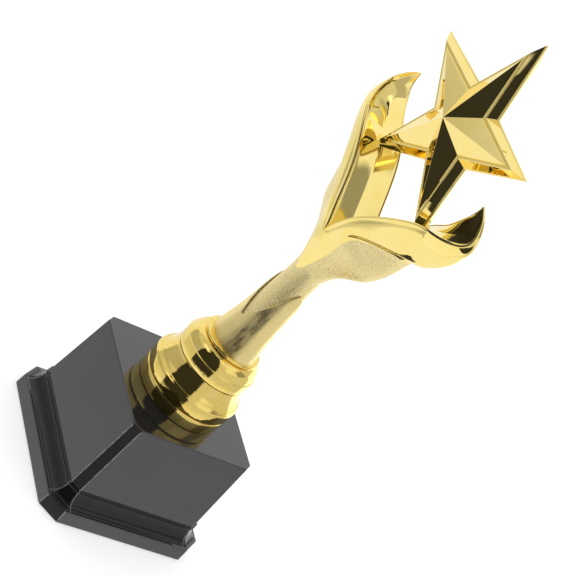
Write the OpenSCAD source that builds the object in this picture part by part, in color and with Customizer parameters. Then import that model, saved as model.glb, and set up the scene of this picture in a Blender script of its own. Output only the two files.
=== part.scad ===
// Star award: a five-pointed star held between two leaf-shaped arms, on a turned
// gold riser and a square black base.
// Millimetres, +Z up. The origin is under the middle of the base, where it stands.
// The star faces -Y and the whole figure is the same left and right of X = 0.
// Heights on the riser, the stem, the arms and the star are counted from the top of
// the base, and figure_space() lifts them there.

/* [Base] */
// Side of the plinth where it stands
plinth_side = 75; // [72:0.5:82]
// Height from the table to the top of the base
base_h = 50.2; // [48:0.2:58]
// Side of the block at its foot
block_foot_side = 63.2; // [61:0.2:64]
// Side of the block at its top
block_top_side = 59.2; // [56:0.2:60]
// Corner cut of the plinth, measured along a side
plinth_cut = 7; // [5:0.5:9]
// Corner cut of the block at its foot
block_cut = 3.4; // [2.6:0.2:4.4]
// Thickness of the moulded black walls
base_wall = 2.4; // [1.8:0.2:3]

/* [Riser] */
// Radius of the riser's lower drum
drum_r = 20.4; // [19.6:0.2:21]
// Radius of the riser's upper drum
collar_r = 16.7; // [16:0.1:17.2]
// Height of the riser
riser_h = 31.4; // [30.4:0.2:32.4]
// Thickness of the plated riser walls
riser_wall = 1.8; // [1.4:0.1:2.4]

/* [Figure] */
// Height of the star's centre above the base
star_z = 155.9; // [155:0.1:157]
// Distance from the star's centre to the tips of its front face
star_front_r = 36.9; // [35:0.1:38]
// Distance from the star's centre to the tips at its seam
star_seam_r = 42.4; // [41:0.1:43]
// Depth of the star's front outline, in front of the seam
star_edge_y = 3.2; // [2.6:0.1:4]
// Depth of the star's middle peak, in front of the seam
star_peak_y = 9.6; // [8.6:0.1:10.6]
// Width of the stem over its depth
stem_flat = 1.22; // [1.1:0.01:1.3]

/* [Fixings] */
// Radius of the threaded tie rod
rod_r = 3; // [2.5:0.25:3.5]
// Length of the tie rod
rod_len = 60; // [56:1:64]

/* [Hidden] */

gold = [0.86, 0.7, 0.24];
pale_gold = [0.9, 0.82, 0.5];
black = [0.1, 0.1, 0.1];

// Base levels
pad_z = 0.4;                // the plinth's lower edge, which the pad holds off the table
plinth_top_z = 6.7;
block_z = 14.4;             // where the block stands on the cove
cover_z = 1.6;              // underside of the closing plate
cover_t = 2;
top_edge_r = 0.7;
block_top_cut = block_cut - 0.3;
pocket_cut = 1.4;           // corner cut of the room inside the block
ballast_h = 12;

// Riser levels
foot_h = 6;
drum_top = 20.2;
collar_z = 20.6;

// Fixings
play = 0.1;                 // gap round a piece that sits in a hole
rod_hole_r = rod_r + 0.3;
insert_r = 5;
insert_h = 14;
insert_z = 36;
nut_r = 5.8;
nut_h = 5;
washer_r = 9;
washer_h = 1.6;
screw_r = 1.4;
screw_len = 8;
screw_head_r = 2.7;
screw_head_h = 0.9;
dowel_r = 1.2;
dowel_len = 12;
peg_r = 0.7;
peg_len = 7;
small_round = 24;           // facets of a dowel's or a peg's hole

// ---- curves and lofts -------------------------------------------------------------

// Point at u on the smooth curve through pts, with u = 0 at the first point
function curve_at(pts, u) =
    let (last = len(pts) - 1,
         i = min(floor(u), last - 1),
         t = u - i,
         a = pts[max(i - 1, 0)],
         b = pts[i],
         c = pts[i + 1],
         d = pts[min(i + 2, last)])
    0.5 * (2 * b + (c - a) * t + (2 * a - 5 * b + 4 * c - d) * t * t
        + (3 * b - a - 3 * c + d) * t * t * t);

// Solid through rings of equal length, closed by a flat face at each end
module loft(rings) {
    n = len(rings[0]);
    m = len(rings);
    sides = [
        for (j = [0:m - 2], i = [0:n - 1])
            let (a = j * n + i, b = j * n + (i + 1) % n)
            each [[a, b + n, b], [a, a + n, b + n]]
    ];
    polyhedron(
        [for (r = rings) each r],
        concat([[for (i = [0:n - 1]) i]], sides, [[for (i = [n - 1:-1:0]) (m - 1) * n + i]])
    );
}

// Keeps its children's size and joins them into one smooth-walled body
module one_body() {
    resize([0, 0, 0]) union() children();
}

module figure_space() {
    translate([0, 0, base_h]) children();
}

// Square of the given half side with its corners cut off, as a ring at height z
function cut_square(half, cut, z) = [
    for (q = [0:3])
        let (c = cos(90 * q), s = sin(90 * q))
        each [
            [c * half - s * (cut - half), s * half + c * (cut - half), z],
            [c * half - s * (half - cut), s * half + c * (half - cut), z]
        ]
];

// ---- base -------------------------------------------------------------------------

plinth_half = plinth_side / 2;
plinth_taper = 0.4;         // how much narrower each side is at the plinth's top
cove_foot = plinth_half - 1.4;
cove_head = block_foot_side / 2 + 0.3;
cove_z = plinth_top_z + 0.35;
bead_z = block_z - 0.75;    // underside of the bead under the block
cove_steps = 7;
top_round_steps = 3;
small_r = 0.3;              // rounding of the plinth's edges
bead_out = 0.45;            // how far the bead under the block stands out
bead_t = 0.4;               // its thickness
groove_in = 0.5;            // depth of the groove between bead and block
groove_t = 0.2;

// Corner cut at a half side between the block's and the plinth's
function cut_at(half) =
    let (t = (half - block_foot_side / 2) / (plinth_half - block_foot_side / 2))
    block_cut + (plinth_cut - block_cut) * min(max(t, 0), 1);

function block_half(z) =
    block_foot_side / 2
        - (block_foot_side - block_top_side) / 2 * (z - block_z) / (base_h - block_z);

base_rings = concat(
    [
        cut_square(plinth_half - small_r, plinth_cut, pad_z),
        cut_square(plinth_half, plinth_cut, pad_z + small_r),
        cut_square(plinth_half - plinth_taper, plinth_cut, plinth_top_z - small_r),
        cut_square(plinth_half - plinth_taper - small_r, plinth_cut, plinth_top_z),
        cut_square(cove_foot, cut_at(cove_foot), plinth_top_z)
    ],
    [
        for (k = [0:cove_steps])
            let (a = 90 * k / cove_steps,
                 half = cove_foot - (cove_foot - cove_head) * sin(a),
                 z = cove_z + (bead_z - 0.15 - cove_z) * (1 - cos(a)))
            cut_square(half, cut_at(half), z)
    ],
    [
        cut_square(cove_head + bead_out, cut_at(cove_head), bead_z),
        cut_square(cove_head + bead_out, cut_at(cove_head), bead_z + bead_t),
        cut_square(cove_head - groove_in, block_cut, block_z - groove_t),
        cut_square(block_half(block_z), block_cut, block_z)
    ],
    [
        for (k = [0:top_round_steps])
            let (a = 90 * k / top_round_steps, z = base_h - top_edge_r * (1 - sin(a)))
            cut_square(block_half(base_h) - top_edge_r * (1 - cos(a)), block_top_cut, z)
    ]
);

pocket_half = block_half(base_h) - base_wall;
skirt_half = plinth_half - base_wall - 0.4;

module base_block() {
    color(black)
    difference() {
        loft(base_rings);
        loft([
            cut_square(pocket_half, pocket_cut, cover_z + cover_t),
            cut_square(pocket_half, pocket_cut, base_h - base_wall)
        ]);
        loft([
            cut_square(skirt_half, plinth_cut - 1, pad_z - 1),
            cut_square(skirt_half, plinth_cut - 1, cover_z + cover_t)
        ]);
        translate([0, 0, base_h - base_wall - 1]) cylinder(r = rod_hole_r, h = base_wall + 2);
        screw_places() cylinder(r = screw_r + play, h = cover_z + screw_len);
    }
}

// The four corner screws of the closing plate go up into the solid foot of the cove
module screw_places() {
    at = (pocket_half + skirt_half) / 2 - 2;
    for (x = [-at, at], y = [-at, at])
        translate([x, y, 0]) children();
}

module base_ballast() {
    color("gray")
    loft([
        cut_square(pocket_half - 1, 2, cover_z + cover_t),
        cut_square(pocket_half - 1, 2, cover_z + cover_t + ballast_h)
    ]);
}

module base_cover() {
    color(black)
    difference() {
        loft([
            cut_square(skirt_half - 0.2, plinth_cut - 1, cover_z),
            cut_square(skirt_half - 0.2, plinth_cut - 1, cover_z + cover_t)
        ]);
        screw_places() cylinder(r = screw_r + play, h = cover_z + cover_t + 1);
    }
}

module cover_screws() {
    color("silver")
    screw_places()
    translate([0, 0, cover_z - screw_head_h]) {
        cylinder(r = screw_head_r, h = screw_head_h);
        cylinder(r = screw_r, h = screw_len);
    }
}

module base_pad() {
    color("dimgray")
    difference() {
        loft([
            cut_square(skirt_half - 0.6, plinth_cut - 1, 0),
            cut_square(skirt_half - 0.6, plinth_cut - 1, cover_z)
        ]);
        screw_places()
            translate([0, 0, cover_z - screw_head_h - play])
            cylinder(r = screw_head_r + 3 * play, h = cover_z);
    }
}

// ---- riser ------------------------------------------------------------------------

// Points of a quarter round from angle a0 to a1 about a centre
function arc(cx, cz, r, a0, a1, steps) = [
    for (k = [0:steps])
        let (a = a0 + (a1 - a0) * k / steps)
        [cx + r * cos(a), cz + r * sin(a)]
];

module riser_foot() {
    color(gold)
    figure_space()
    rotate_extrude($fn = 96)
    polygon(concat(
        [[drum_r - 0.9 - riser_wall, 0]],
        arc(drum_r - 1.3, 0.6, 0.6, -90, 0, 2),
        [[drum_r - 0.3, 2.4]],
        arc(drum_r - 1.1, foot_h - 1.2, 0.8, 20, 90, 3),
        [[drum_r - 0.9 - riser_wall, foot_h - 0.4]]
    ));
}

module riser_drum() {
    color(gold)
    figure_space()
    rotate_extrude($fn = 96)
    polygon(concat(
        [[drum_r - 0.6 - riser_wall, foot_h], [drum_r - 0.5, foot_h]],
        arc(drum_r - 0.5, foot_h + 0.6, 0.5, -60, 0, 2),
        arc(drum_r - 1.6, 10.9, 1.6, 0, 60, 4),
        [[drum_r - 1.3, 12.9], [drum_r - 1.9, 13.5]],
        arc(drum_r + 2.4, 20.2, 6.1, 250, 180, 7),
        [[collar_r - 0.6, drum_top], [collar_r - 0.6 - riser_wall, drum_top]],
        [[collar_r - 0.6 - riser_wall, 15], [drum_r - 0.6 - riser_wall, 10]]
    ));
}

module riser_collar() {
    color(gold)
    figure_space()
    difference() {
        rotate_extrude($fn = 96)
        polygon(concat(
            [[0, collar_z], [collar_r - 0.3, collar_z]],
            arc(collar_r - 0.4, collar_z + 0.5, 0.4, -45, 0, 2),
            arc(collar_r - 4.6, 26.1, 4.6, 0, 66, 7),
            [[collar_r - 5.4, riser_h], [0, riser_h]]
        ));
        translate([0, 0, collar_z - 1])
            cylinder(r = collar_r - 0.6 - riser_wall, h = riser_h - collar_z - 3.4);
        translate([0, 0, riser_h - 6]) cylinder(r = rod_hole_r, h = 8);
    }
}

module stem_ring() {
    color(gold)
    figure_space()
    rotate_extrude($fn = 96)
    polygon(concat(
        [[rod_hole_r, riser_h]],
        arc(12.5, riser_h + 0.6, 0.6, -90, 90, 4),
        [[rod_hole_r, riser_h + 1.2]]
    ));
}

// ---- stem -------------------------------------------------------------------------

// Half depths of the stem: [height, half depth]; its half width is stem_flat times that
stem_profile = [
    [32.6, 9], [35, 8.6], [39, 8], [44, 7.6], [50, 7.1], [56, 6.6],
    [62, 6.3], [68, 5.95], [74, 6], [80, 6.4], [86, 6.8], [90, 6.4]
];
stem_steps = 24;
stem_sides = 32;

function oval(half_y, z, grow = 0) = [
    for (i = [0:stem_sides - 1])
        let (a = 360 * i / stem_sides)
        [(half_y * stem_flat + grow) * cos(a), (half_y + grow) * sin(a), z]
];

function stem_at(s) = curve_at(stem_profile, s * (len(stem_profile) - 1));

module stem_core(grow = 0, upto = 1) {
    loft([
        for (k = [0:stem_steps])
            let (p = stem_at(upto * k / stem_steps))
            oval(p[1], p[0], grow)
    ]);
}

// A leaf of the stem: its front edge and its outermost line, both from root to tip
bract_edge = [
    [0.6, -4.6, 70], [2.2, -5.2, 76], [4.2, -5.7, 81], [5.8, -6.3, 86], [7.4, -7.1, 91.5],
    [9, -8.1, 97], [12.3, -9.1, 103], [17.5, -9.3, 107.6], [24, -8.2, 111.8],
    [29.4, -4.6, 114.6], [33, -0.2, 116.3]
];
bract_crest = [
    [6.2, 0, 70], [7, 0, 75.5], [8.6, 0, 80], [11.4, 0, 84.8], [16.4, 0, 90],
    [22.6, 0, 96.3], [26.9, 0, 102], [29.2, 0, 107], [30.9, 0, 111.3],
    [32.3, 0, 114.3], [33.1, 0, 116.4]
];
bract_steps = 22;
bract_arc_steps = 8;

// Ring of a bract: half an ellipse over the outer side, closed straight across
function bract_ring(s) =
    let (u = s * (len(bract_edge) - 1),
         edge = curve_at(bract_edge, u),
         crest = curve_at(bract_crest, u),
         middle = [edge[0], 0, edge[2]],
         half = [0, edge[1], 0])
    [
        for (k = [0:bract_arc_steps])
            let (a = 180 * k / bract_arc_steps)
            middle + half * cos(a) + (crest - middle) * sin(a)
    ];

module bract() {
    loft([for (k = [0:bract_steps]) bract_ring(k / bract_steps)]);
}

module stem() {
    color(pale_gold)
    figure_space()
    one_body()
    difference() {
        union() {
            stem_core();
            bract();
            mirror([1, 0, 0]) bract();
        }
        for (side = [0, 1])
            mirror([side, 0, 0])
            arm_solid(-0.3);
        translate([0, 0, riser_h])
            cylinder(r = insert_r, h = insert_z + insert_h - riser_h, $fn = 48);
    }
}

// ---- sleeve -----------------------------------------------------------------------

sleeve_gap = 0.1;
sleeve_t = 0.7;
sleeve_notch_z = 45.5;
sleeve_tip_z = 71;

// Upper edge of the sleeve seen from the front: a V in the middle, points at the sides
sleeve_edge = [
    [0, sleeve_notch_z], [2.6, 50.5], [4.8, 55], [6.4, 59.3], [7.4, 64], [8, 68.5],
    [8.4, sleeve_tip_z], [20, sleeve_tip_z + 1]
];

module stem_sleeve() {
    color(gold)
    figure_space()
    one_body()
    intersection() {
        difference() {
            stem_core(sleeve_gap + sleeve_t, 0.9);
            translate([0, 0, -0.01]) stem_core(sleeve_gap, 1);
        }
        rotate([90, 0, 0])
        linear_extrude(60, center = true)
        polygon(concat(
            [[-20, 30], [20, 30]],
            [for (i = [len(sleeve_edge) - 1:-1:1]) sleeve_edge[i]],
            [for (p = sleeve_edge) [-p[0], p[1]]]
        ));
    }
}

// ---- arms -------------------------------------------------------------------------

// Right arm, from its pointed root low on the stem to its tip.
// Front rim of the inner face
arm_front_rim = [
    [0, -5.2, 72.5], [0, -6.6, 77], [0, -8.1, 83], [0, -9.4, 89], [0.3, -10.1, 94.6],
    [4, -11.1, 101.9], [9, -11.5, 109.7], [17, -11, 118.1], [26, -11.2, 125.8],
    [33.2, -10.5, 131], [38.6, -7.6, 133.1], [42.7, -4.3, 135.3], [45.5, -0.8, 138.6],
    [44.9, 0.9, 142.7], [41.5, 1.2, 147.2], [36.3, 0, 151]
];
// Back rim of the inner face: the leaf twists, so that it faces forward near its tip
arm_back_rim = [
    [0, 5.2, 72.5], [0, 6.6, 77], [0, 8.1, 83], [0, 9.4, 89], [0.3, 10.1, 94.6],
    [3.9, 10.7, 102], [8.4, 9.9, 110], [13.2, 8.7, 118.2], [18.4, 7.2, 125.6],
    [23.9, 5.6, 130.9], [28, 3.8, 134.9], [30.9, 2.3, 139], [33, 1.3, 142.3],
    [34.7, 0.6, 145.2], [35.5, 0.4, 148.3], [35.8, 0.2, 151]
];
// Outermost line of the arm
arm_crest = [
    [1.4, 0, 72], [4.4, 0, 76.5], [7.4, 0, 82.4], [9.8, 0, 88], [12.6, 0, 93],
    [17.8, 0, 99], [24.6, 0, 105.6], [33.2, 0.3, 115.3], [39.9, 1.2, 122.2],
    [43.5, 2.5, 128.4], [44.3, 3.5, 133], [43.9, 3.9, 136.7], [42.8, 3.8, 139.5],
    [40.6, 3.2, 143.7], [38.7, 2.2, 147.7], [36.1, 0.5, 151.1]
];
arm_steps = 40;
arm_arc_steps = 12;
arm_dish = 1.6;             // depth of the hollow in the inner face
root_dish = 0.08;           // its share at the root, where the two arms meet
arm_slots = len(arm_front_rim) - 1;

// Ring of the arm: round over the outer side, slightly hollow across the inner face
function arm_ring(s, least) =
    let (u = s * arm_slots,
         front = curve_at(arm_front_rim, u),
         back = curve_at(arm_back_rim, u),
         crest = curve_at(arm_crest, u),
         middle = (front + back) / 2,
         half = (front - back) / 2,
         out = crest - middle,
         dish = arm_dish * min(max((s - 0.35) * 6, least), 1))
    concat(
        [
            for (k = [0:arm_arc_steps])
                let (a = 180 * k / arm_arc_steps)
                middle + half * cos(a) + out * sin(a)
        ],
        [
            for (t = [-0.5, 0, 0.5])
                middle + half * t + out / norm(out) * dish * (1 - t * t)
        ]
    );

module arm_solid(least = root_dish) {
    loft([for (k = [0:arm_steps]) arm_ring(0.998 * k / arm_steps, least)]);
}

// Right arm with the holes for its dowels and for the star's peg
module arm_body() {
    one_body()
    difference() {
        arm_solid();
        dowel_rods(dowel_r + play, dowel_len + play);
        peg_rod(peg_r + play, peg_len + play);
    }
}

module right_arm() {
    color(gold)
    figure_space()
    arm_body();
}

module left_arm() {
    color(gold)
    figure_space()
    mirror([1, 0, 0]) arm_body();
}

// Two rods that cross from one arm's root into the other's
module dowel_rods(r, len) {
    for (z = [84, 90])
        translate([0, 0, z])
        rotate([0, 90, 0])
        cylinder(r = r, h = len, center = true, $fn = small_round);
}

module arm_dowels() {
    color("silver")
    figure_space()
    dowel_rods(dowel_r, dowel_len);
}

// ---- star -------------------------------------------------------------------------

front_notch = 0.388;        // notch radius over tip radius, on the front outline
seam_notch = 0.412;         // the same at the seam
rim_share = 0.92;           // inner edge of the flat rim over the front outline
border = 0.84;              // foot of the raised star over the front outline
border_step = 0.65;         // depth of the sloped border between them
hollow = 0.84;              // inside of the shell over its outside
seat_at = [22.27, 0, 125.22]; // where the middle of a lower point meets the arm
seat_angle = 46;            // slope of the arm's inner face there
seat_twist = 16;            // turn of that face towards the front

// Ten-cornered star outline at depth y, tip upward
function star_ring(tip_r, notch, y) = [
    for (i = [0:9])
        let (r = i % 2 == 0 ? tip_r : tip_r * notch, a = 90 - 36 * i)
        [r * cos(a), y, r * sin(a)]
];

// Half of a star from the seam plane forward, closed by a peak
module star_half(seam_r, front_r, edge_y, step, peak_y) {
    seam = star_ring(seam_r, seam_notch, 0);
    edge = star_ring(front_r, front_notch, -edge_y);
    inner_low = star_ring(front_r * rim_share, front_notch, -edge_y);
    inner_top = star_ring(front_r * border, front_notch, -edge_y - step);
    rows = [seam, edge, inner_low, inner_top];
    faces = [
        for (j = [0:2], i = [0:9])
            let (a = j * 10 + i, b = j * 10 + (i + 1) % 10)
            each [[a, b, b + 10], [a, b + 10, a + 10]]
    ];
    polyhedron(
        concat([for (r = rows) each r], [[0, -peak_y, 0], [0, 0, 0]]),
        concat(
            faces,
            [for (i = [0:9]) [30 + i, 30 + (i + 1) % 10, 40]],
            [for (i = [0:9]) [(i + 1) % 10, i, 41]]
        )
    );
}

// The two lower points are cut where they stand on the arms' inner faces
module seat_cuts(twist) {
    for (side = [0, 1])
        mirror([side, 0, 0])
        translate(seat_at)
        rotate([twist, -seat_angle, 0])
        translate([0, 0, -20])
        cube([40, 40, 40], center = true);
}

// A rod along the middle of the star's right lower point, half in the star and half in the arm
module peg_rod(r, len) {
    translate(seat_at)
    rotate([0, -36, 0])
    cylinder(r = r, h = len, center = true, $fn = small_round);
}

module star_shell(twist) {
    one_body()
    difference() {
        translate([0, 0, star_z])
        difference() {
            star_half(star_seam_r, star_front_r, star_edge_y, border_step, star_peak_y);
            translate([0, 0.01, 0])
            scale(hollow)
            star_half(star_seam_r, star_front_r, star_edge_y * 0.7, 0.01, star_peak_y * 0.9);
        }
        seat_cuts(twist);
        peg_rod(peg_r + play, peg_len + play);
        mirror([1, 0, 0]) peg_rod(peg_r + play, peg_len + play);
    }
}

module star_front() {
    color(gold)
    figure_space()
    star_shell(seat_twist);
}

module star_back() {
    color(gold)
    figure_space()
    mirror([0, 1, 0]) star_shell(-seat_twist);
}

module star_pegs() {
    color("silver")
    figure_space()
    for (side = [0, 1])
        mirror([side, 0, 0])
        peg_rod(peg_r, peg_len);
}

// ---- fixings ----------------------------------------------------------------------

nut_z = base_h - base_wall - washer_h - nut_h;

module tie_rod() {
    color("silver")
    translate([0, 0, nut_z - 2]) cylinder(r = rod_r, h = rod_len);
}

module stem_insert() {
    color("goldenrod")
    figure_space()
    difference() {
        translate([0, 0, insert_z]) cylinder(r = insert_r - play, h = insert_h);
        translate([0, 0, insert_z - 1]) cylinder(r = rod_r + play / 2, h = insert_h + 2);
    }
}

module rod_washer() {
    color("silver")
    translate([0, 0, nut_z + nut_h])
    difference() {
        cylinder(r = washer_r, h = washer_h);
        translate([0, 0, -1]) cylinder(r = rod_hole_r, h = washer_h + 2);
    }
}

module rod_nut() {
    color("silver")
    translate([0, 0, nut_z])
    difference() {
        cylinder(r = nut_r, h = nut_h, $fn = 6);
        translate([0, 0, -1]) cylinder(r = rod_r + play / 2, h = nut_h + 2);
    }
}

base_block();
base_ballast();
base_cover();
cover_screws();
base_pad();
riser_foot();
riser_drum();
riser_collar();
stem_ring();
stem();
stem_sleeve();
left_arm();
right_arm();
arm_dowels();
star_front();
star_back();
star_pegs();
tie_rod();
stem_insert();
rod_washer();
rod_nut();
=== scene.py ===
"""Star award: a gold star between two leaf-shaped arms, on a turned riser and a black base.

Shapes are worked out in millimetres in the frame of the CAD model (+Z up, the star faces -Y)
and written to the meshes in metres.
"""
import math

import bmesh
import bpy
import numpy as np
from mathutils import Matrix, Vector


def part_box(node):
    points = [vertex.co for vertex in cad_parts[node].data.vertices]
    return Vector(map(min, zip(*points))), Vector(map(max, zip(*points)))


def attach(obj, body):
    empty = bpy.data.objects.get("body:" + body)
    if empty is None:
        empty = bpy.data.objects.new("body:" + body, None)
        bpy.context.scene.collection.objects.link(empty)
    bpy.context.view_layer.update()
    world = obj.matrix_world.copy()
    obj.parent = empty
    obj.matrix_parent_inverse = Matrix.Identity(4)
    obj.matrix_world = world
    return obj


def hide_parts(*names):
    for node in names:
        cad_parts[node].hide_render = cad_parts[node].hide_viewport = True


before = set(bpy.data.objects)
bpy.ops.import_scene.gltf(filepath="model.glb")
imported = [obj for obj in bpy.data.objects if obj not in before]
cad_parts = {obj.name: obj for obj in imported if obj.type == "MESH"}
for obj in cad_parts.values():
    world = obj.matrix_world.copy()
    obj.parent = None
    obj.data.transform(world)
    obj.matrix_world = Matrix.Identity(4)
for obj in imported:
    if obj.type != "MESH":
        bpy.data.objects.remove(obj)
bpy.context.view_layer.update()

MM = 0.001
BASE_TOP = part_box("base_block")[1].z / MM
BASE_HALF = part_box("base_block")[1].x / MM
BLOCK_FOOT, BLOCK_TOP = 31.6, 29.6      # half sides of the block
PLINTH_CUT, BLOCK_CUT, BLOCK_TOP_CUT = 7.0, 3.45, 3.13
PLINTH_TOP, BLOCK_Z = 6.7, 14.4         # top of the plinth and foot of the block
WALL = 2.4                              # thickness of the hollow base
LATHE_SIDES = 180


# ---- curves and sections ---------------------------------------------------------------

def curve(points, at):
    """Points at the positions `at` on the natural cubic spline through `points`."""
    p = np.array(points, float)
    n = len(p)
    a = 4 * np.eye(n) + np.eye(n, k=1) + np.eye(n, k=-1)
    a[0, :2] = (1, 0)
    a[-1, -2:] = (0, 1)
    bend = np.zeros_like(p)
    bend[1:-1] = 6 * (p[2:] - 2 * p[1:-1] + p[:-2])
    m = np.linalg.solve(a, bend)
    at = np.clip(np.asarray(at, float), 0, n - 1)
    i = np.minimum(at.astype(int), n - 2)
    t = (at - i).reshape(-1, *[1] * (p.ndim - 1))
    s = 1 - t
    return p[i] * s + p[i + 1] * t + ((s ** 3 - s) * m[i] + (t ** 3 - t) * m[i + 1]) / 6


def calm(rows, width):
    """Evens out small waves along evenly spaced rows, and keeps both end rows in place."""
    reach = int(3 * width)
    k = np.exp(-0.5 * (np.arange(-reach, reach + 1) / width) ** 2)
    k /= k.sum()
    head = 2 * rows[:1] - rows[1:reach + 1][::-1]
    tail = 2 * rows[-1:] - rows[-reach - 1:-1][::-1]
    long = np.concatenate([head, rows, tail])
    return np.stack([np.convolve(long[:, c], k, "valid") for c in range(rows.shape[1])], 1)


def ease(x, low, high):
    """0 below low, 1 above high, and a smooth step between."""
    t = np.clip((np.asarray(x, float) - low) / (high - low), 0, 1)
    return t * t * (3 - 2 * t)


def arc(cx, cz, r, start, end, steps):
    """Points of a circular arc, with its angles in degrees."""
    a = np.radians(np.linspace(start, end, steps + 1))
    return [(cx + r * math.cos(t), cz + r * math.sin(t)) for t in a]


# ---- mesh helpers ----------------------------------------------------------------------

def grid_faces(rows, cols, closed=False):
    """Quads between neighbouring closed rows of points; closed joins the last row to the first."""
    faces = []
    for j in range(rows if closed else rows - 1):
        for i in range(cols):
            a, b = j * cols + i, j * cols + (i + 1) % cols
            c, d = (j + 1) % rows * cols + (i + 1) % cols, (j + 1) % rows * cols + i
            faces.append((a, b, c, d))
    return faces


def piece(name, verts, faces, finish, stands_for, crease=40):
    """A mesh piece from points in millimetres, smooth except where it bends by `crease` degrees."""
    mesh = bpy.data.meshes.new(name)
    mesh.from_pydata([tuple(v) for v in np.asarray(verts, float) * MM], [], faces)
    bm = bmesh.new()
    bm.from_mesh(mesh)
    bmesh.ops.recalc_face_normals(bm, faces=bm.faces)
    bm.to_mesh(mesh)
    bm.free()
    mesh.shade_smooth()
    mesh.set_sharp_from_angle(angle=math.radians(crease))
    mesh.materials.append(finish)
    obj = bpy.data.objects.new(name, mesh)
    bpy.context.scene.collection.objects.link(obj)
    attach(obj, "root")
    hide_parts(*stands_for)
    return obj


def loft(name, rings, finish, stands_for, closed=False, crease=40):
    """A piece through rings of equal length, capped at both ends unless it closes on itself."""
    rings = np.asarray(rings, float)
    m, n = rings.shape[:2]
    faces = grid_faces(m, n, closed=closed)
    if not closed:
        faces += [tuple(range(n))[::-1], tuple(range((m - 1) * n, m * n))]
    piece(name, rings.reshape(-1, 3), faces, finish, stands_for, crease)


def lathe(name, profile, finish, stands_for):
    """A piece turned from a closed outline of (radius, height above the base) points."""
    turns = np.linspace(0, 2 * math.pi, LATHE_SIDES, endpoint=False)
    rings = [[(r * math.cos(t), r * math.sin(t), BASE_TOP + z) for r, z in profile] for t in turns]
    loft(name, rings, finish, stands_for, closed=True)


def even_normals(obj):
    """Keeps large flat faces flat in the shading beside their narrow rounded edges."""
    m = obj.modifiers.new("even_normals", "WEIGHTED_NORMAL")
    m.keep_sharp = True
    m.weight = 100


# ---- materials -------------------------------------------------------------------------

class Finish:
    """A material with a Principled shader, and short ways to add its procedural detail."""

    def __init__(self, name, colour, roughness, metallic=0.0):
        self.material = bpy.data.materials.new(name)
        self.material.use_nodes = True
        self.tree = self.material.node_tree
        self.shader = self.tree.nodes["Principled BSDF"]
        self.shader.inputs["Base Color"].default_value = (*colour, 1)
        self.shader.inputs["Metallic"].default_value = metallic
        self.shader.inputs["Roughness"].default_value = roughness
        self.place = self.node("ShaderNodeTexCoord").outputs["Object"]
        self.last_bump = None

    def node(self, kind, **settings):
        n = self.tree.nodes.new(kind)
        for key, value in settings.items():
            setattr(n, key, value)
        return n

    def link(self, out, into):
        self.tree.links.new(out, into)

    def calc(self, operation, *values):
        """Result of a sum over numbers and outputs of other nodes."""
        n = self.node("ShaderNodeMath", operation=operation)
        for socket, value in zip(n.inputs, values):
            if isinstance(value, bpy.types.NodeSocket):
                self.link(value, socket)
            else:
                socket.default_value = value
        return n.outputs[0]

    def stretched(self, scale):
        """Object coordinates in metres, scaled along each axis."""
        n = self.node("ShaderNodeMapping")
        n.inputs["Scale"].default_value = scale
        self.link(self.place, n.inputs["Vector"])
        return n.outputs["Vector"]

    def noise(self, size_mm, detail, stretch=(1, 1, 1)):
        """Noise whose lumps are about size_mm across."""
        n = self.node("ShaderNodeTexNoise")
        n.inputs["Scale"].default_value = 1 / (size_mm * MM)
        n.inputs["Detail"].default_value = detail
        self.link(self.stretched(stretch), n.inputs["Vector"])
        return n.outputs["Fac"]

    def cells(self, size_mm):
        """Distance to the nearest of points that are about size_mm apart."""
        n = self.node("ShaderNodeTexVoronoi")
        n.inputs["Scale"].default_value = 1 / (size_mm * MM)
        self.link(self.place, n.inputs["Vector"])
        return n.outputs["Distance"]

    def remap(self, value, low, high, to_low, to_high):
        """A smooth step from to_low to to_high as the value goes from low to high."""
        n = self.node("ShaderNodeMapRange", interpolation_type="SMOOTHSTEP")
        for key, number in zip(("From Min", "From Max", "To Min", "To Max"),
                               (low, high, to_low, to_high)):
            n.inputs[key].default_value = number
        self.link(value, n.inputs["Value"])
        return n.outputs["Result"]

    def colours(self, value, stops):
        """Base colour from a ramp of (position, colour) stops over a value."""
        n = self.node("ShaderNodeValToRGB")
        ramp = n.color_ramp
        while len(ramp.elements) < len(stops):
            ramp.elements.new(1.0)
        for element, (position, colour) in zip(ramp.elements, stops):
            element.position = position
            element.color = (*colour, 1)
        self.link(value, n.inputs["Fac"])
        self.link(n.outputs["Color"], self.shader.inputs["Base Color"])

    def roughness(self, value, smooth, rough, low=0.35, high=0.65):
        """Roughness from smooth to rough as the value goes from low to high."""
        self.link(self.remap(value, low, high, smooth, rough), self.shader.inputs["Roughness"])

    def bump(self, value, height_mm):
        """Adds relief of the given height; several calls add up."""
        n = self.node("ShaderNodeBump")
        n.inputs["Strength"].default_value = 1.0
        n.inputs["Distance"].default_value = height_mm * MM
        self.link(value, n.inputs["Height"])
        if self.last_bump:
            self.link(self.last_bump, n.inputs["Normal"])
        self.last_bump = n.outputs["Normal"]
        self.link(self.last_bump, self.shader.inputs["Normal"])


GOLD_PALE = (1.0, 0.815, 0.31)
GOLD_DEEP = (0.98, 0.78, 0.24)


def polished_gold(name, wave_mm):
    """Bright vacuum-plated gold: faint waves in the moulding and fine dust in the lacquer."""
    f = Finish(name, GOLD_PALE, 0.05, metallic=1.0)
    f.colours(f.noise(9, 3), [(0.3, GOLD_DEEP), (0.6, GOLD_PALE)])
    f.roughness(f.noise(0.5, 3), 0.035, 0.10, 0.5, 0.8)
    f.bump(f.noise(6, 1), wave_mm)
    f.bump(f.noise(0.45, 2), 0.0006)
    return f.material


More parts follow.
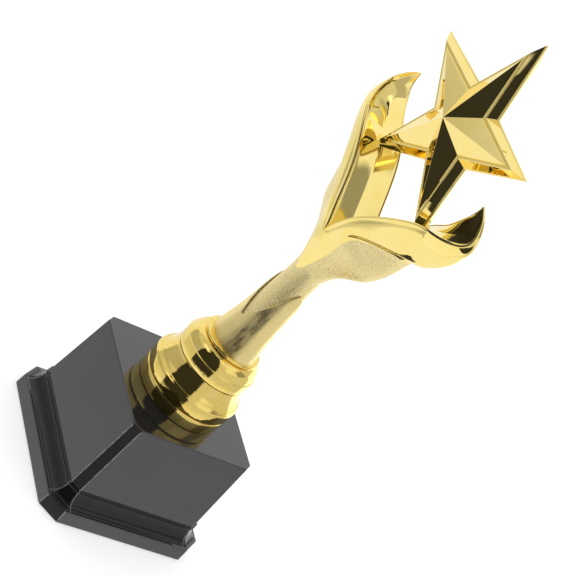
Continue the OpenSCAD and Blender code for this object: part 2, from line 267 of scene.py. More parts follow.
def turned_gold():
    """Deeper gold of the riser, with faint marks where the mould was turned."""
    f = Finish("turned_gold", (0.94, 0.70, 0.19), 0.06, metallic=1.0)
    f.colours(f.noise(5, 4), [(0.3, (0.90, 0.66, 0.16)), (0.65, (0.97, 0.75, 0.24))])
    f.roughness(f.noise(0.6, 3), 0.04, 0.12, 0.5, 0.8)
    f.bump(f.noise(2.6, 2, (1, 1, 1.6)), 0.03)
    f.bump(f.noise(0.5, 2, (0.5, 0.5, 3)), 0.002)
    return f.material


def satin_gold():
    """Blasted gold of the sleeve, with smears along its height."""
    f = Finish("satin_gold", GOLD_DEEP, 0.24, metallic=0.95)
    f.colours(f.noise(4, 4, (1, 1, 0.25)), [(0.3, (0.99, 0.79, 0.32)), (0.65, (1.0, 0.84, 0.40))])
    f.roughness(f.noise(1.6, 4, (1, 1, 0.3)), 0.27, 0.50)
    f.bump(f.noise(0.25, 3), 0.016)
    f.bump(f.noise(3, 2, (1, 1, 0.3)), 0.02)
    return f.material


def grained_gold():
    """Gold with a fine stipple, moulded into the leaves of the stem."""
    f = Finish("grained_gold", GOLD_DEEP, 0.4, metallic=0.82)
    f.colours(f.noise(0.5, 4), [(0.38, (0.93, 0.71, 0.29)), (0.58, (1.0, 0.89, 0.48))])
    f.roughness(f.noise(0.5, 3), 0.24, 0.46)
    f.bump(f.cells(0.55), 0.12)
    f.bump(f.noise(0.3, 3), 0.09)
    return f.material


def painted_cove_shade_and_edge_highlights(f):
    """Painted shade and painted highlights: a deeper black and a weaker reflection in the cove, and
    thin paler lines where the base's corner cuts begin.
    """
    split = f.node("ShaderNodeSeparateXYZ")
    f.link(f.place, split.inputs["Vector"])
    x, y, z = split.outputs
    # a cut's edge lies where the smaller of |x| and |y| is the side's half less the cut
    inner = f.calc("MINIMUM", f.calc("ABSOLUTE", x), f.calc("ABSOLUTE", y))
    block = f.node("ShaderNodeMapRange")
    for key, number in zip(("From Min", "From Max", "To Min", "To Max"),
                           (BLOCK_Z, BASE_TOP,
                            BLOCK_FOOT - BLOCK_CUT, BLOCK_TOP - BLOCK_TOP_CUT)):
        block.inputs[key].default_value = number * MM
    f.link(z, block.inputs["Value"])
    on_plinth = f.calc("LESS_THAN", z, PLINTH_TOP * MM)
    plinth = (BASE_HALF - PLINTH_CUT - BLOCK_FOOT + BLOCK_CUT) * MM
    corner = f.calc("ADD", block.outputs["Result"], f.calc("MULTIPLY", on_plinth, plinth))
    away = f.calc("ABSOLUTE", f.calc("SUBTRACT", inner, corner))
    # painted highlight: a thin paler line along each corner cut's edge, patchy along its length and
    # fading out just under the top
    line = f.remap(away, 0.08 * MM, 0.26 * MM, 1.0, 0.0)
    line = f.calc("MULTIPLY", line, f.remap(f.noise(3, 3), 0.3, 0.6, 0.35, 1.0))
    below_top = f.remap(z, (BASE_TOP - 1.2) * MM, (BASE_TOP - 0.5) * MM, 1.0, 0.0)
    line = f.calc("MULTIPLY", line, below_top)
    # painted shade: the cove between the plinth's top and the block's foot is marked for a
    # near-black colour
    foot = f.remap(z, (PLINTH_TOP - 0.1) * MM, (PLINTH_TOP + 0.3) * MM, 0.0, 1.0)
    head = f.remap(z, (BLOCK_Z - 0.6) * MM, (BLOCK_Z - 0.2) * MM, 1.0, 0.0)
    cove = f.calc("MULTIPLY", foot, head)
    # mixes the painted shade (near black, in the cove) and the painted highlight (pale grey lines)
    # into the base colour
    for share, colour in ((cove, (0.008, 0.008, 0.009)), (line, (0.30, 0.30, 0.305))):
        mix = f.node("ShaderNodeMix", data_type="RGBA")
        f.link(share, mix.inputs[0])
        f.link(f.shader.inputs["Base Color"].links[0].from_socket, mix.inputs[6])
        mix.inputs[7].default_value = (*colour, 1)
        f.link(mix.outputs[2], f.shader.inputs["Base Color"])
    # painted shade: the cove also reflects less
    f.link(f.remap(cove, 0, 1, 0.5, 0.22), f.shader.inputs["Specular IOR Level"])


def black_plastic():
    """Glossy black moulding: a deep mirror on the top, and a softer, faintly grained side."""
    f = Finish("black_plastic", (0.026, 0.026, 0.027), 0.1)
    f.shader.inputs["IOR"].default_value = 1.78
    f.colours(f.noise(14, 4), [(0.35, (0.023, 0.023, 0.024)), (0.7, (0.030, 0.030, 0.031))])
    # adds painted shade in the cove and painted highlights along the corner cuts
    painted_cove_shade_and_edge_highlights(f)
    normal = f.node("ShaderNodeNewGeometry").outputs["Normal"]
    split = f.node("ShaderNodeSeparateXYZ")
    f.link(normal, split.inputs["Vector"])
    by_slope = f.remap(split.outputs["Z"], 0.8, 0.99, 0.16, 0.05)
    specks = f.remap(f.noise(0.8, 4), 0.45, 0.75, 0.0, 0.05)
    f.link(f.calc("ADD", by_slope, specks), f.shader.inputs["Roughness"])
    f.bump(f.noise(12, 1), 0.006)
    f.bump(f.noise(0.4, 3), 0.0008)
    return f.material


def rubber():
    f = Finish("pad_rubber", (0.03, 0.03, 0.032), 0.8)
    f.colours(f.noise(2, 4), [(0.3, (0.02, 0.02, 0.022)), (0.7, (0.045, 0.045, 0.047))])
    f.bump(f.cells(1.2), 0.12)
    return f.material


def plain_metal(name, dark, light, roughness):
    """Machined or cast metal of the hidden fixings."""
    f = Finish(name, light, roughness, metallic=1.0)
    f.colours(f.noise(1.5, 4), [(0.3, dark), (0.7, light)])
    f.roughness(f.noise(0.6, 3), roughness * 0.8, roughness * 1.25)
    f.bump(f.noise(0.3, 2), 0.004)
    return f.material


bright = polished_gold("bright_gold", 0.012)
facet_gold = polished_gold("facet_gold", 0.004)
turned = turned_gold()
satin = satin_gold()
grained = grained_gold()
black = black_plastic()
steel = plain_metal("zinc_steel", (0.42, 0.43, 0.44), (0.62, 0.63, 0.64), 0.3)

CAD_FINISHES = {
    "base_pad": rubber(),
    "base_cover": black,
    "base_ballast": plain_metal("cast_iron", (0.10, 0.10, 0.10), (0.19, 0.18, 0.18), 0.6),
    "stem_insert": plain_metal("insert_brass", (0.62, 0.44, 0.16), (0.82, 0.62, 0.28), 0.28),
}
for node in ("cover_screws", "arm_dowels", "star_pegs", "tie_rod", "rod_washer", "rod_nut"):
    CAD_FINISHES[node] = steel
for node, finish in CAD_FINISHES.items():
    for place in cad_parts[node].material_slots:
        place.material = finish


# ---- base ------------------------------------------------------------------------------

CORNER_REACH, CORNER_STEPS = 0.189, 4   # how far a corner's rounding reaches, and its steps


def octagon(half, cut, z):
    """A square with cut corners as a ring, each of its eight corners rounded."""
    c = half - cut
    turn = [(half, -c), (half, c), (c, half), (-c, half),
            (-half, c), (-half, -c), (-c, -half), (c, -half)]
    ring = []
    for k, v in enumerate(turn):
        v, a, b = (np.array(p, float) for p in (v, turn[k - 1], turn[(k + 1) % 8]))
        first = v + (a - v) / np.linalg.norm(a - v) * CORNER_REACH
        last = v + (b - v) / np.linalg.norm(b - v) * CORNER_REACH
        for s in np.linspace(0, 1, CORNER_STEPS + 1):
            p = first * (1 - s) ** 2 + 2 * v * s * (1 - s) + last * s ** 2
            ring.append((p[0], p[1], z))
    return ring


def cut_at(half):
    """The corner cut grows from the block's to the plinth's as the half side does."""
    share = np.clip((half - BLOCK_FOOT) / (BASE_HALF - BLOCK_FOOT), 0, 1)
    return BLOCK_CUT + (PLINTH_CUT - BLOCK_CUT) * share


def base_profile():
    """Outer outline of the base as (half side, height), from its lower edge to its top."""
    low = 0.4
    outline = arc(BASE_HALF - 0.35, low + 0.35, 0.35, -90, 0, 4)
    outline += arc(BASE_HALF - 0.75, PLINTH_TOP - 0.4, 0.4, 0, 90, 4)
    foot, head = BASE_HALF - 1.55, BLOCK_FOOT + 0.3
    outline += [(foot + 0.12, PLINTH_TOP), (foot, PLINTH_TOP + 0.12)]
    for a in np.radians(np.linspace(2, 88, 14)):
        outline.append((foot - (foot - head) * math.sin(a),
                        PLINTH_TOP + 0.3 + (6.4 - 0.3) * (1 - math.cos(a))))
    outline += arc(head + 0.25, 13.42, 0.22, -90, 90, 5)
    outline += [(head - 0.25, 13.78), (head - 0.45, 13.95), (BLOCK_FOOT - 0.2, 14.1)]
    outline += arc(BLOCK_FOOT - 0.25, 14.45, 0.25, -60, 0, 3)
    outline += arc(BLOCK_TOP - 0.5, BASE_TOP - 0.5, 0.5, 0, 90, 5)
    return outline


def make_base():
    rings = []
    for half, z in base_profile():
        on_block = z > BLOCK_Z - 0.5
        rise = (z - BLOCK_Z) / (BASE_TOP - BLOCK_Z)
        cut = BLOCK_CUT + (BLOCK_TOP_CUT - BLOCK_CUT) * rise if on_block else cut_at(half)
        rings.append(octagon(half, cut, z))
    inside = [(BLOCK_TOP - WALL, BASE_TOP - WALL), (BLOCK_TOP - WALL, 3.6),
              (BASE_HALF - WALL - 0.4, 3.6), (BASE_HALF - WALL - 0.4, 0.5)]
    inner = [octagon(half, 1.4 if half < BLOCK_FOOT else PLINTH_CUT - 1, z) for half, z in inside]
    # the outer rings run up to the top, and the inner ones from under the top down to the foot
    verts = np.array(rings + inner[::-1]).reshape(-1, 3)
    n, m, k = len(rings[0]), len(rings), len(inner)
    faces = grid_faces(m, n) + [tuple((m - 1) * n + i for i in range(n))]
    faces += [tuple(m * n + i for i in f) for f in grid_faces(k, n)]
    faces += [tuple((m + k - 1) * n + i for i in range(n))]
    faces += [(i, (i + 1) % n, m * n + (i + 1) % n, m * n + i) for i in range(n)]
    obj = piece("black_base", verts, faces, black, ["base_block"], crease=50)
    even_normals(obj)


make_base()


# ---- riser -----------------------------------------------------------------------------

def make_riser():
    foot = [(17.9, 0), (19.4, 0)] + arc(19.5, 0.5, 0.5, -90, 0, 5) + [(20.1, 2.6)]
    foot += arc(19.4, 5.1, 0.7, 10, 90, 6) + [(18.9, 5.85), (17.9, 5.85)]
    lathe("foot_ring", foot, turned, ["riser_foot"])

    drum = [(17.9, 6.2), (19.6, 6.2)] + arc(19.85, 6.75, 0.55, -80, 0, 6)
    drum += arc(18.6, 10.9, 1.8, 0, 52, 9) + arc(19.3, 12.72, 0.22, 40, 130, 4)
    neck = curve([(18.95, 13.15), (18.45, 14.0), (17.65, 15.3), (17.1, 16.8), (16.75, 18.4),
                  (16.6, 19.7)], np.linspace(0, 5, 22))
    drum += [tuple(p) for p in neck] + arc(16.35, 20.05, 0.25, 0, 90, 4)
    drum += [(14.4, 20.3), (14.4, 15), (17.9, 10.5)]
    lathe("lower_drum", drum, turned, ["riser_drum"])

    collar = [(14.2, 20.6), (16.1, 20.6)] + arc(16.35, 20.95, 0.35, -90, 0, 5)
    collar += arc(16.45, 25.7, 0.25, 0, 80, 5) + [(16.32, 26.0), (16.18, 26.12)]
    shoulder = curve([(16.14, 26.35), (15.95, 27.2), (15.55, 28.2), (14.9, 29.3),
                      (13.9, 30.3), (12.7, 31.05), (11.4, 31.4)], np.linspace(0, 6, 36))
    collar += [tuple(p) for p in shoulder] + [(3.4, 31.4), (3.4, 28.6), (14.2, 28)]
    lathe("upper_collar", collar, turned, ["riser_collar"])

    ring = [(3.4, 31.45), (12.2, 31.45)] + arc(12.3, 32.15, 0.7, -90, 90, 10) + [(3.4, 32.85)]
    lathe("stem_bead", ring, turned, ["stem_ring"])


make_riser()


# ---- stem and sleeve -------------------------------------------------------------------

STEM_FLAT = 1.22                        # the stem's width over its depth
# Half depths of the sleeve's outside at these heights above the base
SLEEVE_HALF = [(31.6, 10.0), (34, 9.7), (41.5, 8.67), (52, 7.76), (63, 7.09), (71, 6.35), (78, 6.0)]
# Half depths of the stem above the sleeve
STEM_HALF = [(32.9, 9.0), (41.5, 7.9), (52, 7.0), (63, 6.3), (71, 5.95), (78, 6.2), (86, 6.8),
             (91, 6.0)]
SLEEVE_WALL = 0.7
# Upper edge of the sleeve in front: sideways distance and height
SLEEVE_EDGE = [(0, 45.5), (2.6, 50.5), (4.8, 55), (6.4, 59.3), (7.4, 64), (8.0, 68.5), (8.3, 71)]


def half_at(table, z):
    """Half depth at height z, on a smooth curve through the table."""
    heights = [row[0] for row in table]
    place = np.interp(z, heights, np.arange(len(table)))
    return curve(table, place)[:, 1]


def sleeve_top(turn):
    """Height of the sleeve's edge at an angle from its front, found by closing in on it."""
    x_edge = [p[0] for p in SLEEVE_EDGE]
    z_edge = [p[1] for p in SLEEVE_EDGE]
    z = np.full(len(turn), 60.0)
    for _ in range(60):
        x = np.abs(np.sin(turn)) * STEM_FLAT * half_at(SLEEVE_HALF, z)
        z = 0.6 * z + 0.4 * np.interp(x, x_edge, z_edge)
    return z


def make_sleeve():
    turns = np.linspace(-math.pi, math.pi, 240, endpoint=False)
    tops = calm(sleeve_top(turns)[:, None], 1.5)[:, 0]
    foot, rows = 32.9, 70
    rings = []
    for t, top in zip(turns, tops):
        z = foot + (top - foot) * np.linspace(0, 1, rows)
        # the rim is rounded over, and the wall thins towards the tips at the sides
        wall = SLEEVE_WALL * (1 - 0.45 * ease(top, 62, 71))
        under_rim = np.clip((top - z) / (wall * 1.3), 0, 1)
        inset = wall * 0.48 * (1 - np.sqrt(1 - (1 - under_rim) ** 2))
        half = half_at(SLEEVE_HALF, z)
        outside = [((h * STEM_FLAT - i) * math.sin(t), -(h - i) * math.cos(t), BASE_TOP + v)
                   for h, i, v in zip(half, inset, z)]
        inside = [((h * STEM_FLAT - wall + i) * math.sin(t), -(h - wall + i) * math.cos(t),
                   BASE_TOP + v) for h, i, v in zip(half, inset, z)]
        rings.append(outside + inside[::-1])
    loft("satin_sleeve", rings, satin, ["stem_sleeve"], closed=True, crease=60)


make_sleeve()


# ---- arms ------------------------------------------------------------------------------

# Right arm from its pointed root low on the stem to its tip: the front and back rims of its
# inner face, and its outermost line
ARM_FRONT = [
    (0, -5.2, 72.5), (0, -6.6, 77), (0, -8.1, 83), (0, -9.4, 89), (0.3, -10.1, 94.6),
    (4.0, -11.1, 101.9), (9.0, -11.5, 109.7), (17.0, -11.0, 118.1), (26.0, -11.2, 125.8),
    (33.2, -10.5, 131), (38.6, -7.6, 133.1), (42.7, -4.3, 135.3), (45.5, -0.8, 138.6),
    (44.9, 0.9, 142.7), (41.5, 1.2, 147.2), (36.3, 0, 151)]
ARM_BACK = [
    (0, 5.2, 72.5), (0, 6.6, 77), (0, 8.1, 83), (0, 9.4, 89), (0.3, 10.1, 94.6),
    (3.9, 10.7, 102), (8.4, 9.9, 110), (13.2, 8.7, 118.2), (18.4, 7.2, 125.6),
    (23.9, 5.6, 130.9), (28, 3.8, 134.9), (30.9, 2.3, 139), (33, 1.3, 142.3),
    (34.7, 0.6, 145.2), (35.5, 0.4, 148.3), (35.8, 0.2, 151)]
ARM_CREST = [
    (1.4, 0, 72), (4.4, 0, 76.5), (7.4, 0, 82.4), (9.8, 0, 88), (12.6, 0, 93),
    (17.8, 0, 99), (24.6, 0, 105.6), (33.2, 0.3, 115.3), (39.9, 1.2, 122.2),
    (43.8, 2.4, 128.4), (45.0, 3.2, 133), (45.0, 3.4, 136.7), (44.0, 3.2, 139.5),
    (41.6, 2.8, 144), (39.2, 1.9, 148), (36.1, 0.5, 151.1)]
ARM_ROWS = 240
FORK = 4.0                              # position along the arm where the two arms part
# Where the polished band ends and the grained leaf begins, in degrees round the arm's outside
BAND_EDGE = [0, 20, 34, 42, 40, 29, 33, 56, 90]
# How far the grained leaf stands out beyond the arm's outermost line
LEAF_OUT = [5.1, 3.2, 3.0, 4.8, 7.3, 7.8, 5.6, 0]
LEDGE = 1.2                             # drop from the polished band to the leaf near its tip
LEDGE_WALL = 1.3                        # width of the slope down to it
BEAD_R = 0.8                            # radius of the bead along the rims
GROOVE = 0.3                            # depth of the groove beside it
FOLD = 3                                # slope of the inner face's two halves, in degrees
RECESS = 0.5                            # depth of the inner face below the rims


def arm_lines():
    """Positions along the arm with its front rim, back rim and outermost line there."""
    at = np.linspace(0, len(ARM_FRONT) - 1.03, ARM_ROWS)
    lines = [calm(curve(points, at), 3.2) for points in (ARM_FRONT, ARM_BACK, ARM_CREST)]
    # below the fork the inner faces of the two arms lie flat against each other
    for line in lines[:2]:
        line[:, 0] *= ease(at, FORK - 0.6, FORK + 0.2)
    return at, lines


def table_at(table, at):
    return curve(np.array(table, float)[:, None], np.minimum(at, len(table) - 1))[:, 0]


def ledge_at(at):
    return LEDGE * ease(at, 4.5, 5.7) * (1 - ease(at, 7.2, 7.6))


def arm_section(at, front, back, crest, ahead):
    """One ring of the arm: its round outside, the two rim beads and the folded inner face."""
    middle, half = (front + back) / 2, (front - back) / 2
    out = crest - middle
    wide, tall = np.linalg.norm(half), np.linalg.norm(out)
    along = half / wide
    behind = np.cross(ahead, half)
    behind /= np.linalg.norm(behind)
    bead = min(BEAD_R, 0.3 * wide, 0.4 * tall) * float(ease(at, FORK - 0.1, FORK + 0.4)) + 0.03
    band = math.radians(float(table_at(BAND_EDGE, np.array([at]))[0]))
    drop = float(ledge_at(at))
    fold = wide * math.tan(math.radians(FOLD)) * float(ease(at, FORK, FORK + 1.5))
    start = math.asin(min(0.9, 1.1 * bead / tall))
    ring = []
    for a in np.linspace(start, math.pi - start, 64):
        # a narrow groove sets the outside back from the bead
        groove = GROOVE * bead / BEAD_R * (1 - float(ease(math.sin(a) * tall, 0.8, 3.0)))
        point = middle + half * (1 - groove / wide) * math.cos(a) + out * math.sin(a)
        step = LEDGE_WALL / math.hypot(wide * math.sin(a), tall * math.cos(a))
        inside = float(ease(min(a, math.pi - a), band - step, band)) if drop else 0
        normal = half / wide ** 2 * math.cos(a) + out / tall ** 2 * math.sin(a)
        ring.append(point - normal / np.linalg.norm(normal) * drop * inside)
    # a thin edge at the back, and a bead with a wall down to the recessed face in front
    edge = 0.4 * bead
    deep = min(RECESS * bead / BEAD_R, 0.15 * wide)
    low, high = -(wide - 2 * edge), wide - 2 * bead
    valley = (low + high) / 2
    turns = np.radians(np.linspace(15, -190, 12))
    profile = [(-(wide - edge) - edge * math.cos(t), edge * math.sin(t)) for t in turns]
    for x in np.linspace(low, valley, 18)[1:]:
        profile.append((x, (deep + fold) * (x - low) / (valley - low)))
    for x in np.linspace(valley, high, 22)[1:-1]:
        share = (x - valley) / (high - valley)
        profile.append((x, (deep + fold * (1 - share)) * (1 - share ** 24)))
    profile += [(wide - bead + bead * math.cos(t), bead * math.sin(t)) for t in turns[::-1]]
    return ring + [middle + along * x + behind * y for x, y in profile]


def make_arm(name, side, stands_for):
    at, lines = arm_lines()
    ahead = np.gradient((lines[0] + lines[1]) / 2, axis=0)
    rings = np.array([arm_section(*row) for row in zip(at, *lines, ahead)])
    rings[..., 0] *= side
    rings[..., 2] += BASE_TOP
    loft(name, rings, bright, [stands_for], crease=55)


make_arm("right_leaf_arm", 1, "right_arm")
make_arm("left_leaf_arm", -1, "left_arm")


def make_stem():
    """The grained stem: its core and the two leaves, joined into one skin."""
    heights = np.linspace(32.9, 91, 60)
    turns = np.linspace(0, 2 * math.pi, 96, endpoint=False)
    core = [[(h * STEM_FLAT * math.cos(t), h * math.sin(t), z) for t in turns]
            for h, z in zip(half_at(STEM_HALF, heights), heights)]
    at, (front, back, crest) = arm_lines()
    keep = at <= 7.05
    leaf = []
    for a, f, b, c in zip(at[keep], front[keep], back[keep], crest[keep]):
        middle, half = (f + b) / 2, (f - b) / 2
        out = c - middle
        wide, tall = np.linalg.norm(half), np.linalg.norm(out)
        band = math.radians(float(table_at(BAND_EDGE, np.array([a]))[0]))
        sink = 0.12 + float(ledge_at(a))
        swell = max(float(table_at(LEAF_OUT, np.array([a]))[0]), 0)
        ring, under = [], []
        for share in np.linspace(-0.02, 1.02, 41):
            t = band + (math.pi - 2 * band) * share
            lift = tall - sink
            bulge = swell * max(math.sin(math.pi * share), 0) ** 1.5
            flat = half * (1 - sink / wide) * math.cos(t)
            ring.append(middle + flat + out / tall * (lift * math.sin(t) + bulge))
            under.append(middle + flat * 0.97 + out / tall * (lift * math.sin(t) - 1.2) * 0.9)
        ring += under[::-1]
        leaf.append(ring)
    leaf = np.array(leaf)
    parts = [np.array(core), leaf, leaf * (-1, 1, 1)]
    verts, faces = [], []
    for rings in parts:
        m, n = rings.shape[:2]
        base = len(verts)
        local = grid_faces(m, n) + [tuple(range(n))[::-1], tuple(range((m - 1) * n, m * n))]
        faces += [tuple(base + i for i in f) for f in local]
        verts += [tuple(v + (0, 0, BASE_TOP)) for v in rings.reshape(-1, 3)]
    obj = piece("grained_stem", verts, faces, grained, ["stem"], crease=80)
    skin = obj.modifiers.new("skin", "REMESH")
    skin.mode = "VOXEL"
    skin.voxel_size = 0.4 * MM
    skin.use_smooth_shade = True
    soften = obj.modifiers.new("soften", "SMOOTH")
    soften.factor = 0.5
    soften.iterations = 6


make_stem()


# ---- star ------------------------------------------------------------------------------

STAR_Z = 155.9
SEAM_R, SEAM_NOTCH = 42.4, 0.412
FRONT_R, FRONT_NOTCH = 36.9, 0.388
EDGE_Y, PEAK_Y = 3.2, 9.6
INRADIUS = 11.63                        # distance from the centre to the front outline's edges
EDGE_STEPS = 6
SIDE_STRETCH = 1.02                     # the star is a little wider than high


def star_row(tip_r, notch, y):
    """The star's outline at depth y, with points along each of its ten edges."""
    row = []
    corners = []
    for i in range(10):
        r, a = tip_r * (1 if i % 2 == 0 else notch), math.radians(90 - 36 * i)
        corners.append(np.array([r * math.cos(a) * SIDE_STRETCH, y, r * math.sin(a)]))
    for i in range(10):
        for k in range(EDGE_STEPS):
            row.append(corners[i] + (corners[(i + 1) % 10] - corners[i]) * k / EDGE_STEPS)
    return row


def make_star(name, facing, stands_for):
    """One shell of the star; facing is -1 for the front one and 1 for the back one."""
    inset = lambda d: FRONT_R * (1 - d / INRADIUS)
    rows = [
        star_row(SEAM_R - 0.35, SEAM_NOTCH, 0.02),
        star_row(SEAM_R - 0.05, SEAM_NOTCH, 0.12),
        star_row(SEAM_R, SEAM_NOTCH, 0.3),
        star_row(SEAM_R - 0.25, SEAM_NOTCH, 0.52),
        star_row(SEAM_R - 0.75, SEAM_NOTCH * 0.99, 0.62),
        star_row(FRONT_R + 0.15, FRONT_NOTCH, EDGE_Y - 0.12),
        star_row(FRONT_R, FRONT_NOTCH, EDGE_Y),
        star_row(inset(0.15), FRONT_NOTCH, EDGE_Y + 0.07),
        star_row(inset(0.78), FRONT_NOTCH, EDGE_Y + 0.1),
        star_row(inset(0.92), FRONT_NOTCH, EDGE_Y - 0.15),
        star_row(inset(1.04), FRONT_NOTCH, EDGE_Y + 0.1),
        star_row(inset(1.16), FRONT_NOTCH, EDGE_Y + 0.34),
        star_row(inset(1.9), FRONT_NOTCH, EDGE_Y + 0.82),
    ]
    n = len(rows[0])
    hollow = 0.84
    inner = [star_row(SEAM_R * hollow, SEAM_NOTCH, 0.02),
             star_row(FRONT_R * hollow, FRONT_NOTCH, EDGE_Y * 0.7)]
    verts = [p for row in rows for p in row] + [np.array([0, PEAK_Y, 0])]
    peak = len(verts) - 1
    faces = grid_faces(len(rows), n)
    last = (len(rows) - 1) * n
    for i in range(10):
        edge = [last + (i * EDGE_STEPS + k) % n for k in range(EDGE_STEPS + 1)]
        faces.append((*edge, peak))
    first_in = len(verts)
    verts += [p for row in inner for p in row] + [np.array([0, PEAK_Y * 0.76, 0])]
    faces += [tuple(first_in + i for i in f) for f in grid_faces(2, n)]
    faces += [(first_in + n + i, first_in + n + (i + 1) % n, len(verts) - 1) for i in range(n)]
    faces += [(i, (i + 1) % n, first_in + (i + 1) % n, first_in + i) for i in range(n)]
    verts = np.array(verts) * (1, facing, 1) + (0, 0, BASE_TOP + STAR_Z)
    obj = piece(name, verts, faces, facet_gold, [stands_for], crease=14)
    round_over = obj.modifiers.new("round_over", "BEVEL")
    round_over.width = 0.16 * MM
    round_over.segments = 3
    round_over.limit_method = "ANGLE"
    round_over.angle_limit = math.radians(22)
    round_over.harden_normals = True
    round_over.use_clamp_overlap = True


make_star("front_star_shell", -1, "star_front")
make_star("back_star_shell", 1, "star_back")


# ---- stage -----------------------------------------------------------------------------

def make_floor():
    mesh = bpy.data.meshes.new("floor")
    size = 6.0
    mesh.from_pydata([(-size, -size, 0), (size, -size, 0), (size, size, 0), (-size, size, 0)],
                     [], [(0, 1, 2, 3)])
    f = Finish("pale_floor", (0.9, 0.9, 0.9), 0.9)
    f.colours(f.noise(300, 2), [(0.3, (0.89, 0.89, 0.89)), (0.7, (0.91, 0.91, 0.91))])
    f.shader.inputs["Emission Color"].default_value = (1, 1, 1, 1)
    f.shader.inputs["Emission Strength"].default_value = 0.55
    mesh.materials.append(f.material)
    floor = bpy.data.objects.new("floor", mesh)
    floor.visible_glossy = False            # the gold mirrors the tent's white sweep instead
    bpy.context.scene.collection.objects.link(floor)


# Light zones of the tent that the gold mirrors, laid over each other in this order. Azimuth (from
# -Y towards +X) and height of the middle, half sizes and softness of the edge, all in degrees,
# and brightness.
TENT_LEVEL = 0.70
ZONES = [
    ((0, -62), (181, 30), 4, 0.97),         # white sweep below
    ((-105, 15), (45, 44), 8, 0.97),        # large soft light at the left
    ((-30, 2), (33, 23), 4, 0.5),           # gap between the sweep and the left light
    ((130, 46), (36, 22), 6, 0.95),         # light behind at the right
    ((150, 34), (16, 13), 3, 0.33),         # stand behind it
    ((-168, -8), (20, 27), 4, 1.6),         # rim light behind
    ((35, 20), (35, 53), 2.5, 0.035),       # black room round the camera
    ((-4, 50), (17, 8), 5, 1.3),            # small light beside the camera
    ((0, 86), (181, 10), 5, 0.5),           # tent's top
]
RAGGED = 0.065                              # unevenness of the zones' edges


# Small cards that only the gold mirrors: middle in millimetres, direction they face (azimuth and
# height), half sizes in millimetres and brightness
CARDS = [
    ("leaf_flag", (31.8, -8.1, 190.5), (-37, 20), (10.8, 5.4), 0.0),
    ("belly_card", (55, -8.8, 176.1), (-162, -40), (18.5, 14.7), 0.95),
    ("leaf_card", (-31.2, -8.1, 187.4), (-140, -10), (19.5, 7.6), 0.95),
]


def make_card(name, middle, facing, half_sizes, brightness):
    turn, rise = (math.radians(a) for a in facing)
    normal = Vector((math.sin(turn) * math.cos(rise), -math.cos(turn) * math.cos(rise),
                     math.sin(rise)))
    across = Vector((0, 0, 1)).cross(normal).normalized()
    along = normal.cross(across)
    across, along = across * half_sizes[0], along * half_sizes[1]
    middle = Vector(middle)
    mesh = bpy.data.meshes.new(name)
    corners = [middle - across - along, middle + across - along,
               middle + across + along, middle - across + along]
    mesh.from_pydata([c * MM for c in corners], [], [(0, 1, 2, 3)])
    f = Finish(name, (0.02, 0.02, 0.02), 0.9)
    f.colours(f.noise(5, 2), [(0.3, (0.015, 0.015, 0.015)), (0.7, (0.03, 0.03, 0.03))])
    f.shader.inputs["Emission Color"].default_value = (1, 1, 1, 1)
    f.shader.inputs["Emission Strength"].default_value = brightness
    mesh.materials.append(f.material)
    card = bpy.data.objects.new(name, mesh)
    card.visible_camera = card.visible_diffuse = card.visible_shadow = False
    bpy.context.scene.collection.objects.link(card)


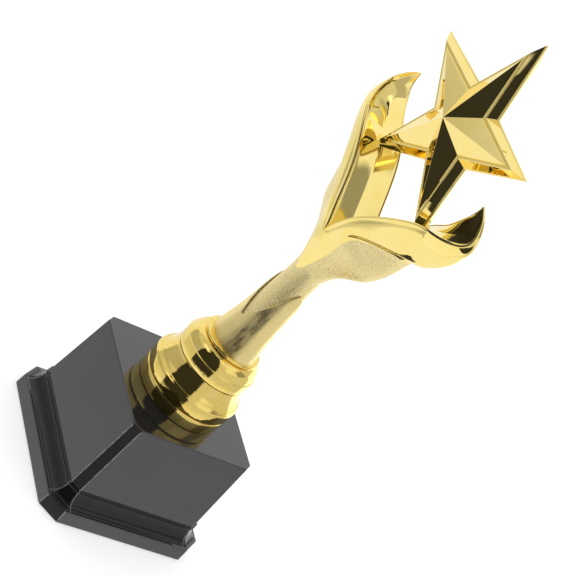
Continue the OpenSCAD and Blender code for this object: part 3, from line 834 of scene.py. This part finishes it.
def make_world():
    """White for the camera, and a tent with darker and brighter zones for everything else."""
    world = bpy.data.worlds.new("studio")
    bpy.context.scene.world = world
    world.use_nodes = True
    tree = world.node_tree
    background = tree.nodes["Background"]

    def node(kind, *values, **settings):
        n = tree.nodes.new(kind)
        for key, value in settings.items():
            setattr(n, key, value)
        for socket, value in zip(n.inputs, values):
            if isinstance(value, bpy.types.NodeSocket):
                tree.links.new(value, socket)
            elif value is not None:
                socket.default_value = value
        return n

    def calc(operation, *values):
        return node("ShaderNodeMath", *values, operation=operation).outputs[0]

    def near(distance, reach, soft):
        """1 within reach of the middle and 0 outside, with a soft edge between."""
        n = node("ShaderNodeMapRange", distance, math.radians(reach + soft),
                 math.radians(reach - soft), 0.0, 1.0, interpolation_type="SMOOTHSTEP")
        return n.outputs[0]

    where = node("ShaderNodeTexCoord").outputs["Generated"]
    uneven = node("ShaderNodeTexNoise", where)
    uneven.inputs["Scale"].default_value = 7
    uneven.inputs["Detail"].default_value = 3
    shift = node("ShaderNodeVectorMath", uneven.outputs["Color"], (0.5, 0.5, 0.5),
                 operation="SUBTRACT").outputs[0]
    shift = node("ShaderNodeVectorMath", shift, (RAGGED,) * 3, operation="MULTIPLY").outputs[0]
    where = node("ShaderNodeVectorMath", where, shift, operation="ADD").outputs[0]
    where = node("ShaderNodeVectorMath", where, operation="NORMALIZE").outputs[0]
    x, y, z = node("ShaderNodeSeparateXYZ", where).outputs
    azimuth = calc("ARCTAN2", x, calc("MULTIPLY", y, -1.0))
    height = calc("ARCSINE", z)
    level = TENT_LEVEL
    for (turn, rise), (half_turn, half_rise), soft, brightness in ZONES:
        across = calc("WRAP", calc("SUBTRACT", azimuth, math.radians(turn)), math.pi, -math.pi)
        along = calc("ABSOLUTE", calc("SUBTRACT", height, math.radians(rise)))
        cover = calc("MULTIPLY", near(calc("ABSOLUTE", across), half_turn, soft),
                     near(along, half_rise, soft))
        level = calc("ADD", calc("MULTIPLY", level, calc("SUBTRACT", 1.0, cover)),
                     calc("MULTIPLY", cover, brightness))
    tree.links.new(level, background.inputs["Strength"])
    background.inputs["Color"].default_value = (1, 1, 1, 1)
    white = node("ShaderNodeBackground", (1, 1, 1, 1), 1.0)
    to_camera = node("ShaderNodeLightPath").outputs["Is Camera Ray"]
    mix = node("ShaderNodeMixShader", to_camera, background.outputs[0], white.outputs[0])
    tree.links.new(mix.outputs[0], tree.nodes["World Output"].inputs["Surface"])


def make_camera():
    """The view from the right and above, with the camera tipped to the left."""
    place = Vector((0.42320, -0.39599, 0.38631))
    azimuth, pitch, roll = (math.radians(a) for a in (46.98, 25.1, 46.63))
    forward = Vector((-math.sin(azimuth) * math.cos(pitch), math.cos(azimuth) * math.cos(pitch),
                      -math.sin(pitch)))
    level = Vector((math.cos(azimuth), math.sin(azimuth), 0))
    upright = level.cross(forward)
    right = level * math.cos(roll) + upright * math.sin(roll)
    up = upright * math.cos(roll) - level * math.sin(roll)
    data = bpy.data.cameras.new("camera")
    data.sensor_width = 36
    data.lens = 107.1
    data.clip_start = 0.01
    camera = bpy.data.objects.new("camera", data)
    bpy.context.scene.collection.objects.link(camera)
    turn = Matrix((right, up, -forward)).transposed().to_4x4()
    camera.matrix_world = Matrix.Translation(place) @ turn
    bpy.context.scene.camera = camera


make_floor()
for row in CARDS:
    make_card(*row)
make_world()
make_camera()
view = bpy.context.scene.view_settings
view.view_transform = "Standard"
view.look = "None"
